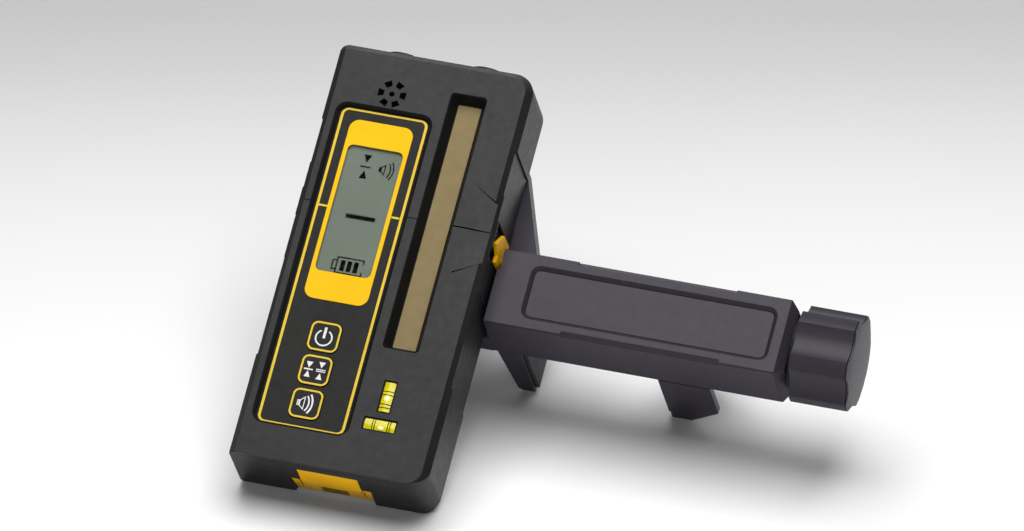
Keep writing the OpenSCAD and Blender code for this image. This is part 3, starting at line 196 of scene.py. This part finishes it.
VIAL = painted_glow("vial_liquid", (0.55, 0.48, 0.0), (0.66, 0.58, 0.002), (0.12, 0.2),
               strength=0.06, colour=(0.9, 0.8, 0.0), specular=0.3, coat=0.1)
BUBBLE = painted_glow("vial_bubble", (0.8, 0.76, 0.2), (0.88, 0.84, 0.35), (0.08, 0.12),
                 strength=0.12, colour=(1.0, 0.95, 0.5))
# Dark olive of the thumb rest: painted shade of the flap's thumb notch.
THUMB_SHADE = plastic("thumb_rest", (0.2, 0.13, 0.004), (0.25, 0.165, 0.008), (0.5, 0.62),
                grain=1800, depth=0.00005, strength=0.4, specular=0.15)

FINISH = {"case_plastic": CASE, "yellow_plastic": YELLOW, "black_plastic": BLACK, "rubber": RUBBER,
          "clear": LENS, "lcd": LCD, "amber": AMBER, "vial": VIAL, "board": BOARD, "steel": STEEL,
          "brass": BRASS, "cell_wrap": WRAP}
SPECIAL = {"keypad_panel": PANEL, "power_key": PANEL, "precision_key": PANEL, "volume_key": PANEL,
           "display_bezel": PRINT, "lead_screw": SCREW, "fixed_jaw_pad": PADS, "sliding_jaw_pad": PADS}
for clamp_node in bodies["clamp"] + bodies["jaw"] + bodies["screw"]:
    if slot_of[clamp_node] == "case_plastic":
        SPECIAL[clamp_node] = CLAMP


def finish_of(node):
    return SPECIAL.get(node, FINISH[slot_of[node]])


for name, obj in nodes.items():
    obj.data.materials.clear()
    obj.data.materials.append(finish_of(name))


# Softened edges

MERGE_M = 2e-6
COPLANAR_DEG = 0.4
HARD_DEG = 30.0
SHADE_DEG = 35


def soften(node, width, flat_width=None):
    """A copy of a node with its hard edges rounded, in its place. Faces wider than flat_width stay flat."""
    mesh = nodes[node].data.copy()
    mesh.name = node + "_soft"
    bm = bmesh.new()
    bm.from_mesh(mesh)
    bmesh.ops.remove_doubles(bm, verts=bm.verts, dist=MERGE_M)
    bmesh.ops.dissolve_limit(bm, angle_limit=math.radians(COPLANAR_DEG), verts=bm.verts, edges=bm.edges)
    bm.normal_update()
    hard = [e for e in bm.edges
            if len(e.link_faces) == 2 and e.calc_face_angle(0) > math.radians(HARD_DEG)]
    bmesh.ops.bevel(bm, geom=hard, offset=width * MM, offset_type="OFFSET", segments=2, profile=0.5,
                    affect="EDGES", clamp_overlap=True, miter_outer="ARC")
    for f in bm.faces:
        longest = max(e.calc_length() for e in f.edges)
        f.smooth = not flat_width or f.calc_area() < flat_width * MM * longest
    bm.to_mesh(mesh)
    bm.free()
    mesh.set_sharp_from_angle(angle=math.radians(SHADE_DEG))
    obj = bpy.data.objects.new(node + "_soft", mesh)
    bpy.context.scene.collection.objects.link(obj)
    mesh.materials.clear()
    mesh.materials.append(finish_of(node))
    flat = obj.modifiers.new("flat_faces", "WEIGHTED_NORMAL")
    flat.weight = 100
    flat.keep_sharp = True
    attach(obj, body_of[node])
    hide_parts(node)
    return obj


SOFT = {"front_cover": 0.3, "rear_case": 0.35, "clamp_arm": 0.35, "arm_end_cap": 0.3, "clamp_bracket": 0.3,
        "sliding_jaw": 0.35, "knob": 0.5, "knob_end_cap": 0.3, "battery_flap": 0.25, "release_latch": 0.25,
        "power_key": 0.25, "precision_key": 0.25, "volume_key": 0.25, "grade_pad": 0.2, "top_magnets": 0.3,
        "fixed_jaw_pad": 0.3, "sliding_jaw_pad": 0.3, "arm_plate": 0.2, "thrust_ring": 0.3}
FLAT = {"front_cover": 1.2, "rear_case": 1.2}
softened = {n: soften(n, edge, flat_width=FLAT.get(n)) for n, edge in SOFT.items()}
# The flap throws no yellow light on the floor below it
softened["battery_flap"].visible_diffuse = False


# Shapes drawn in the receiver's frame

def rounded(x, y, w, h, r, n=8):
    """Rounded rectangle about a middle point, anticlockwise."""
    points = []
    for k, (sx, sy) in enumerate(((1, 1), (-1, 1), (-1, -1), (1, -1))):
        cx, cy = x + sx * (w / 2 - r), y + sy * (h / 2 - r)
        for i in range(n + 1):
            a = math.pi / 2 * (k + i / n)
            points.append((cx + r * math.cos(a), cy + r * math.sin(a)))
    return points


def bar(x0, y0, x1, y1):
    return [(x0, y0), (x1, y0), (x1, y1), (x0, y1)]


def arc(x, y, r, width, a0, a1, n=24):
    """Band of a circle between two angles in degrees, anticlockwise."""
    angles = [math.radians(a0 + (a1 - a0) * i / n) for i in range(n + 1)]
    outer = [(x + (r + width / 2) * math.cos(a), y + (r + width / 2) * math.sin(a)) for a in angles]
    inner = [(x + (r - width / 2) * math.cos(a), y + (r - width / 2) * math.sin(a)) for a in reversed(angles)]
    return outer + inner


def outline(points, width):
    """Closed line of a given width round a convex loop, as a ring of two loops."""
    inner = []
    for i, p in enumerate(points):
        a, b = Vector(points[i - 1]), Vector(points[(i + 1) % len(points)])
        d0, d1 = (Vector(p) - a).normalized(), (b - Vector(p)).normalized()
        n0, n1 = Vector((-d0.y, d0.x)), Vector((-d1.y, d1.x))
        n = (n0 + n1).normalized()
        inner.append(tuple(Vector(p) + n * (width / max(n.dot(n0), 0.3))))
    return points, inner


def bridge(bm, first, second):
    """Faces between two loops of as many points."""
    for i in range(len(first)):
        j = (i + 1) % len(first)
        bm.faces.new((first[i], first[j], second[j], second[i]))


def piece(name, bm, transform, mat, body, smooth=False):
    """A mesh moved to its place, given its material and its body."""
    bm.transform(transform)
    bmesh.ops.recalc_face_normals(bm, faces=bm.faces)
    for f in bm.faces:
        f.smooth = smooth
    mesh = bpy.data.meshes.new(name)
    bm.to_mesh(mesh)
    bm.free()
    mesh.materials.append(mat)
    if smooth:
        mesh.set_sharp_from_angle(angle=math.radians(SHADE_DEG))
    obj = bpy.data.objects.new(name, mesh)
    bpy.context.scene.collection.objects.link(obj)
    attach(obj, body)
    return obj


def printed(name, body, mat, z0, z1, loops=(), rings=()):
    """Thin raised shapes between two levels: filled loops, and rings between pairs of loops."""
    bm = bmesh.new()

    def level(loop, z):
        return [bm.verts.new((x, y, z)) for x, y in loop]

    for loop in loops:
        low, high = level(loop, z0), level(loop, z1)
        bm.faces.new(high)
        bm.faces.new(list(reversed(low)))
        bridge(bm, low, high)
    for outer, inner in rings:
        corners = [level(outer, z0), level(outer, z1), level(inner, z1), level(inner, z0)]
        for k, loop in enumerate(corners):
            bridge(bm, loop, corners[(k + 1) % len(corners)])
    return piece(name, bm, LOCAL, mat, body)


# Printed graphics of the panel, the keys and the display

PANEL_X = -14.95
PANEL_TOP = -2.0
KEY_TOP = -1.5
LCD_TOP = -3.0
LCD_SINK = 0.02
INK_T = 0.06
GRADE_Y = 107.1
TICK_W = 0.8
BORDER_Y, BORDER_W, BORDER_H, BORDER_R = 81.95, 34.9, 133.9, 3.0
LINE_X, LINE_Y, LINE_R = 1.05, 0.8, 2.1
MARGIN_Y, MARGIN_W, MARGIN_H, MARGIN_R = 82.25, 37.1, 134.7, 3.8
PRINT_GAP = 0.02
KEYS = {"power_key": 53.5, "precision_key": 39.3, "volume_key": 25.1}
KEY_OUTER, KEY_OUTER_R = 12.1, 2.7
KEY_INNER, KEY_INNER_R = 10.6, 2.0

border_outer = rounded(PANEL_X, BORDER_Y, BORDER_W, BORDER_H, BORDER_R)
border_inner = rounded(PANEL_X, BORDER_Y, BORDER_W - 2 * LINE_X, BORDER_H - 2 * LINE_Y, LINE_R)
ticks = [bar(x0, GRADE_Y - TICK_W / 2, x1, GRADE_Y + TICK_W / 2) for x0, x1 in ((-31.4, -27.8), (-2.0, 1.2))]
printed("border_print", "receiver", LINES, PANEL_TOP, PANEL_TOP + INK_T,
        loops=ticks, rings=[(border_outer, border_inner)])

# A black ring between the panel's margin and the yellow border: painted shade of the keypad's recess wall.
margin_outer = rounded(PANEL_X, MARGIN_Y, MARGIN_W, MARGIN_H, MARGIN_R)
margin_inner = rounded(PANEL_X, BORDER_Y, BORDER_W + 2 * PRINT_GAP, BORDER_H + 2 * PRINT_GAP,
                       BORDER_R + PRINT_GAP)
printed("margin_print", "receiver", SHADE_BLACK, PANEL_TOP, PANEL_TOP + INK_T,
        rings=[(margin_outer, margin_inner)])

for key, y in KEYS.items():
    printed(key + "_outline", key, LINES, KEY_TOP, KEY_TOP + INK_T,
            rings=[(rounded(PANEL_X, y, KEY_OUTER, KEY_OUTER, KEY_OUTER_R),
                    rounded(PANEL_X, y, KEY_INNER, KEY_INNER, KEY_INNER_R))])


def icon(name, key, loops, rings=()):
    printed(name, key, WHITE, KEY_TOP, KEY_TOP + INK_T, loops=loops, rings=rings)


def speaker(x, y, s, width, reach):
    """Loudspeaker outline with two sound waves, as loops and rings about its left middle."""
    box = [(x, y - 1.15 * s), (x + 0.95 * s, y - 1.15 * s), (x + 0.95 * s, y + 1.15 * s), (x, y + 1.15 * s)]
    cone = [(x + 0.95 * s, y - 1.15 * s), (x + 3.0 * s, y - 2.9 * s), (x + 3.0 * s, y + 2.9 * s),
            (x + 0.95 * s, y + 1.15 * s)]
    waves = [arc(x - 0.6 * s, y, r * s, w * s, -36, 36) for r, w in reach]
    return [outline(box, width), outline(cone, width)], waves


icon("power_icon", "power_key", [arc(-15.1, 53.0, 3.2, 0.6, 118, 422, 40), bar(-15.6, 52.8, -14.6, 57.4)])
icon("precision_icon", "precision_key",
     [[(-19.0, 42.5), (-17.7, 39.9), (-16.4, 42.5)], bar(-19.5, 39.05, -15.9, 39.6),
      [(-18.9, 36.1), (-16.5, 36.1), (-17.7, 38.75)],
      [(-14.1, 43.0), (-12.8, 40.5), (-11.5, 43.0)], bar(-14.6, 39.6, -10.9, 40.0),
      bar(-14.6, 38.85, -10.9, 39.25), [(-14.0, 35.7), (-11.6, 35.7), (-12.8, 38.4)]])
speaker_rings, speaker_waves = speaker(-18.6, 25.2, 1.0, 0.35, [(5.3, 0.6), (6.7, 0.7)])
icon("volume_icon", "volume_key", speaker_waves, speaker_rings)

speaker_rings, speaker_waves = speaker(-12.2, 126.2, 0.86, 0.42, [(6.0, 0.6), (7.4, 0.6)])
battery = [bar(-18.7, 87.3, -7.7, 87.85), bar(-18.7, 80.75, -7.7, 81.3), bar(-18.7, 81.3, -18.15, 87.3),
           bar(-8.25, 85.9, -7.7, 87.3), bar(-8.25, 81.3, -7.7, 82.6),
           bar(-20.4, 85.85, -18.7, 86.4), bar(-20.4, 82.15, -18.7, 82.7), bar(-20.4, 82.7, -19.85, 85.85)]
cells = [bar(x, 82.0, x + 1.85, 86.5) for x in (-16.9, -14.25, -11.6)]
pointers = [[(-19.25, 131.3), (-17.65, 127.9), (-16.05, 131.3)], bar(-19.75, 125.9, -15.5, 126.5),
            [(-19.2, 121.2), (-16.0, 121.2), (-17.6, 124.6)], bar(-20.0, 104.1, -8.2, 105.9)]
printed("display_segments", "receiver", INK, LCD_TOP - LCD_SINK, LCD_TOP + INK_T,
        loops=pointers + battery + cells + speaker_waves, rings=speaker_rings)


# Vials: a curved glass over the liquid with a painted glow, ring marks, a bubble whose glow is a painted
# highlight, and a black ring round each that is painted shade in the gap round the vial

VIAL_X = 15.9
VIAL_TOP = -0.5
VIAL_L, VIAL_W = 12.2, 4.2
VIAL_RISE = 0.4
GLASS_SINK = 0.05
MARK_W, MARK_LIFT = 0.34, 0.04
BUBBLE_T, BUBBLE_SINK = 0.28, 0.1
SHADE_RING_W, SHADE_RING_GAP = 0.65, 0.02
SHADE_RING_D, SHADE_RING_RISE = 1.3, 0.03
SHADE_RING_OUTER_R, SHADE_RING_INNER_R = 0.5, 0.3


def arch(bm, x0, x1, lift, floor, n=12):
    """Shell of a low arch across a vial, from x0 to x1 along it, standing on a floor below the arch."""
    rows = []
    for x in (x0, x1):
        row = [bm.verts.new((x, -VIAL_W / 2, floor))]
        for i in range(n + 1):
            t = 2 * i / n - 1
            row.append(bm.verts.new((x, t * VIAL_W / 2, VIAL_RISE * (1 - t * t) + lift)))
        rows.append(row + [bm.verts.new((x, VIAL_W / 2, floor))])
    bridge(bm, *rows)
    bm.faces.new(rows[0])
    bm.faces.new(list(reversed(rows[1])))


def vial_loop(x, y, turn, grow, r):
    """Outline of a vial made larger on every side, along x or turned along y."""
    long, wide = VIAL_L + 2 * grow, VIAL_W + 2 * grow
    return rounded(x, y, *((wide, long) if turn else (long, wide)), r)


# Middle, turn, places of the marks, and the bubble's place and half sizes
VIALS = {"level": ((VIAL_X, 21.3), 0, (-2.9, -2.0, 3.2, 4.1), (0.6, -1.0, 1.3, 0.8)),
         "plumb": ((VIAL_X, 33.2), 90, (-4.5, -3.05, 0.85, 2.3), (-0.55, 0.0, 1.4, 1.2))}
for name, ((x, y), turn, marks, (bubble_x, bubble_y, bubble_l, bubble_w)) in VIALS.items():
    place = LOCAL @ Matrix.Translation((x, y, VIAL_TOP)) @ Matrix.Rotation(math.radians(turn), 4, "Z")
    bm = bmesh.new()
    arch(bm, -VIAL_L / 2, VIAL_L / 2, 0.0, -GLASS_SINK)
    piece(name + "_glass", bm, place, VIAL, "receiver", smooth=True)
    bm = bmesh.new()
    for m in marks:
        arch(bm, m - MARK_W / 2, m + MARK_W / 2, MARK_LIFT, 0.0)
    piece(name + "_marks", bm, place, INK, "receiver", smooth=True)
    bm = bmesh.new()
    bmesh.ops.create_uvsphere(bm, u_segments=32, v_segments=16, radius=1.0)
    rise = VIAL_RISE * (1 - (2 * bubble_y / VIAL_W) ** 2) - BUBBLE_SINK
    middle = Matrix.Translation((bubble_x, bubble_y, rise))
    shape = middle @ Matrix.Diagonal((bubble_l, bubble_w, BUBBLE_T, 1))
    piece(name + "_bubble", bm, place @ shape, BUBBLE, "receiver", smooth=True)
    # Black ring round the vial: painted shade in the gap between the vial and its pocket.
    printed(name + "_gasket", "receiver", SHADE_BLACK, VIAL_TOP - SHADE_RING_D, VIAL_TOP + SHADE_RING_RISE,
            rings=[(vial_loop(x, y, turn, SHADE_RING_W, SHADE_RING_OUTER_R),
                    vial_loop(x, y, turn, SHADE_RING_GAP, SHADE_RING_INNER_R))])


# Painted shade: black linings over the sloped wall round the keypad and the sloped walls of the window's funnel

RECESS_W, RECESS_H, RECESS_Y, RECESS_R = 37.5, 135.1, 82.25, 4.0
RECESS_SLOPE, RECESS_EDGE, RECESS_RIM = 0.9, 0.05, 0.12
RECESS_SKIN, RECESS_TOE, RECESS_TOE_H = 0.2, 0.3, 0.1
RIM_OUTER_R, RIM_INNER_R = 0.8, 0.7
LINING_LIFT = 0.02
WINDOW_X, WINDOW_Y, WINDOW_W, WINDOW_H, WINDOW_R = 15.9, 107.45, 14.7, 109.1, 2.2
WINDOW_SLOPE, WINDOW_D, WINDOW_RIM = 2.2, 5.5, 0.25
WINDOW_OUTER, WINDOW_INNER = (0.22, 0.1), (0.37, 0.2)
# Foot of the window's lining: how far past the slope and how high above the window
WINDOW_FOOT_R = 0.4
WINDOW_FOOT = [(0.05, LINING_LIFT), (0.55, LINING_LIFT), (0.5, 0.15), (0.2, 0.2)]


def funnel(name, rings, mat):
    """Closed band through loops of points, each with its level, in order round the band's section."""
    bm = bmesh.new()
    loops = [[bm.verts.new((x, y, z)) for x, y in loop] for loop, z in rings]
    for k, loop in enumerate(loops):
        bridge(bm, loop, loops[(k + 1) % len(loops)])
    return piece(name, bm, LOCAL, mat, "receiver")


def recess_loop(grow, r_grow):
    return rounded(PANEL_X, RECESS_Y, RECESS_W + 2 * grow, RECESS_H + 2 * grow, RECESS_R + r_grow)


def window_loop(inset, r):
    return rounded(WINDOW_X, WINDOW_Y, WINDOW_W - 2 * inset, WINDOW_H - 2 * inset, r)


def window_rim(inset, r_cut):
    return window_loop(inset, WINDOW_R - r_cut), -WINDOW_RIM


funnel("keypad_lining",
       [(recess_loop(RECESS_SLOPE - RECESS_RIM, RIM_OUTER_R), -RECESS_RIM - RECESS_EDGE),
        (recess_loop(-RECESS_EDGE, -RECESS_EDGE), -RECESS_SLOPE - RECESS_EDGE),
        (recess_loop(-RECESS_EDGE, -RECESS_EDGE), PANEL_TOP + LINING_LIFT),
        (recess_loop(-RECESS_TOE, -RECESS_TOE), PANEL_TOP + LINING_LIFT),
        (recess_loop(-RECESS_TOE, -RECESS_TOE), PANEL_TOP + RECESS_TOE_H),
        (recess_loop(-RECESS_SKIN, -RECESS_SKIN), PANEL_TOP + RECESS_SKIN),
        (recess_loop(-RECESS_SKIN, -RECESS_SKIN), -RECESS_SLOPE),
        (recess_loop(RECESS_SLOPE - RECESS_SKIN, RIM_INNER_R), -RECESS_RIM)], SHADE_BLACK)
window_foot = [(window_loop(WINDOW_SLOPE + past, WINDOW_FOOT_R), -WINDOW_D + high)
               for past, high in WINDOW_FOOT]
funnel("window_lining", [window_rim(*WINDOW_OUTER), *window_foot, window_rim(*WINDOW_INNER)], SHADE_BLACK)


# Ribbed rest in the thumb notch of the battery flap, dark olive as painted shade of the notch

THUMB_X, THUMB_Z0, THUMB_Z1 = -1.1, -31.2, -23.6
THUMB_W, THUMB_Y = 10.4, 2.3
THUMB_T, RIB_T = 0.15, 0.4
RIBS, RIB_FROM, RIB_TO = 6, 0.3, 0.7

pitch = (THUMB_Z1 - THUMB_Z0) / RIBS
profile = [(THUMB_Y, THUMB_Z0)]
for i in range(RIBS):
    z = THUMB_Z0 + i * pitch
    profile += [(THUMB_Y - THUMB_T, z), (THUMB_Y - RIB_T, z + RIB_FROM * pitch),
                (THUMB_Y - RIB_T, z + RIB_TO * pitch)]
profile += [(THUMB_Y - THUMB_T, THUMB_Z1), (THUMB_Y, THUMB_Z1)]
bm = bmesh.new()
ends = [[bm.verts.new((THUMB_X + side * THUMB_W / 2, y, z)) for y, z in profile] for side in (-1, 1)]
bridge(bm, *ends)
bm.faces.new(ends[0])
bm.faces.new(list(reversed(ends[1])))
piece("thumb_rest", bm, LOCAL, THUMB_SHADE, body_of["battery_flap"])


# Floor, light and camera

FLOOR_HALF = 6.0
FLOOR_ALBEDO = 0.9
# Painted shade on the floor: its colour darkens along the view, from the front edge of the picture to its back
# edge
FADE_AXIS = (-0.3024, 0.9532, 0.0)
FADE_FROM, FADE_TO = -0.06, 0.303
FADE = [(0.0, 1.0), (0.21, 0.995), (0.32, 0.98), (0.435, 0.93), (0.55, 0.89), (0.66, 0.832), (0.775, 0.752),
        (0.887, 0.658), (1.0, 0.585)]


def floor_material():
    mat, tree, bsdf = new_material("pale_floor")
    coord = tree.nodes.new("ShaderNodeTexCoord")
    along_view = tree.nodes.new("ShaderNodeVectorMath")
    along_view.operation = "DOT_PRODUCT"
    along_view.inputs[1].default_value = FADE_AXIS
    tree.links.new(coord.outputs["Object"], along_view.inputs[0])
    place = tree.nodes.new("ShaderNodeMapRange")
    place.inputs["From Min"].default_value = FADE_FROM
    place.inputs["From Max"].default_value = FADE_TO
    tree.links.new(along_view.outputs["Value"], place.inputs["Value"])
    fade = tree.nodes.new("ShaderNodeValToRGB")
    stops = fade.color_ramp.elements
    while len(stops) < len(FADE):
        stops.new(0.5)
    for stop, (at, level) in zip(stops, FADE):
        stop.position = at
        stop.color = (*grey(level * FLOOR_ALBEDO), 1)
    tree.links.new(place.outputs["Result"], fade.inputs["Fac"])
    tree.links.new(fade.outputs["Color"], bsdf.inputs["Base Color"])
    tree.links.new(spread(tree, noise(tree, scale=30), 0.6, 0.7), bsdf.inputs["Roughness"])
    bsdf.inputs["Specular IOR Level"].default_value = 0.05
    return mat


floor_mesh = bpy.data.meshes.new("floor")
floor_mesh.from_pydata([(x, y, 0.0) for x, y in bar(-FLOOR_HALF, -FLOOR_HALF, FLOOR_HALF, FLOOR_HALF)], [],
                       [(0, 1, 2, 3)])
floor_mesh.materials.append(floor_material())
floor = bpy.data.objects.new("floor", floor_mesh)
bpy.context.scene.collection.objects.link(floor)


def area_light(name, place, aim, size_x, size_y, power):
    data = bpy.data.lights.new(name, "AREA")
    data.energy = power
    data.shape = "RECTANGLE"
    data.size = size_x
    data.size_y = size_y
    obj = bpy.data.objects.new(name, data)
    obj.location = place
    obj.rotation_mode = "QUATERNION"
    obj.rotation_quaternion = (Vector(aim) - Vector(place)).to_track_quat("-Z", "Y")
    bpy.context.scene.collection.objects.link(obj)


area_light("overhead", (0.0, 0.0, 1.2), (0.0, 0.001, 0), size_x=1.1, size_y=1.1, power=18.5)
area_light("back", (0.1, 2.0, 0.45), (0, 0, 0.05), size_x=3.0, size_y=0.8, power=12)
area_light("front", (0.3, -1.8, 1.0), (0, 0, 0.05), size_x=3.0, size_y=1.0, power=8)

world = bpy.data.worlds.new("studio")
bpy.context.scene.world = world
world.use_nodes = True
world.node_tree.nodes["Background"].inputs["Color"].default_value = (0.9, 0.9, 0.92, 1)
world.node_tree.nodes["Background"].inputs["Strength"].default_value = 0.08
bpy.context.scene.view_settings.view_transform = "Standard"

# The camera's right, up and backward directions in the receiver's frame, and the point in the middle
# of the picture
RIGHT = Vector((2.488, 0.6374, -0.3851)).normalized()
UP = Vector((-0.4448, 2.349, 1.0143)).normalized()
BACK = RIGHT.cross(UP)
MIDDLE = (49.95, 95.49, 0.0)
LENS_MM = 500.0
SENSOR_MM = 36.0
PICTURE_PX = 1024
PX_PER_MM = 2.597

distance = PICTURE_PX / PX_PER_MM * MM * LENS_MM / SENSOR_MM
camera = bpy.data.objects.new("camera", bpy.data.cameras.new("camera"))
camera.data.lens = LENS_MM
camera.data.sensor_width = SENSOR_MM
camera.data.clip_start, camera.data.clip_end = 0.05, 50.0
spin = TURN.to_3x3() @ Matrix((RIGHT, UP, BACK)).transposed()
eye = LOCAL @ Vector(MIDDLE) + TURN.to_3x3() @ BACK * distance
camera.matrix_world = Matrix.Translation(eye) @ spin.to_4x4()
bpy.context.scene.collection.objects.link(camera)
bpy.context.scene.camera = camera

bpy.context.view_layer.update()
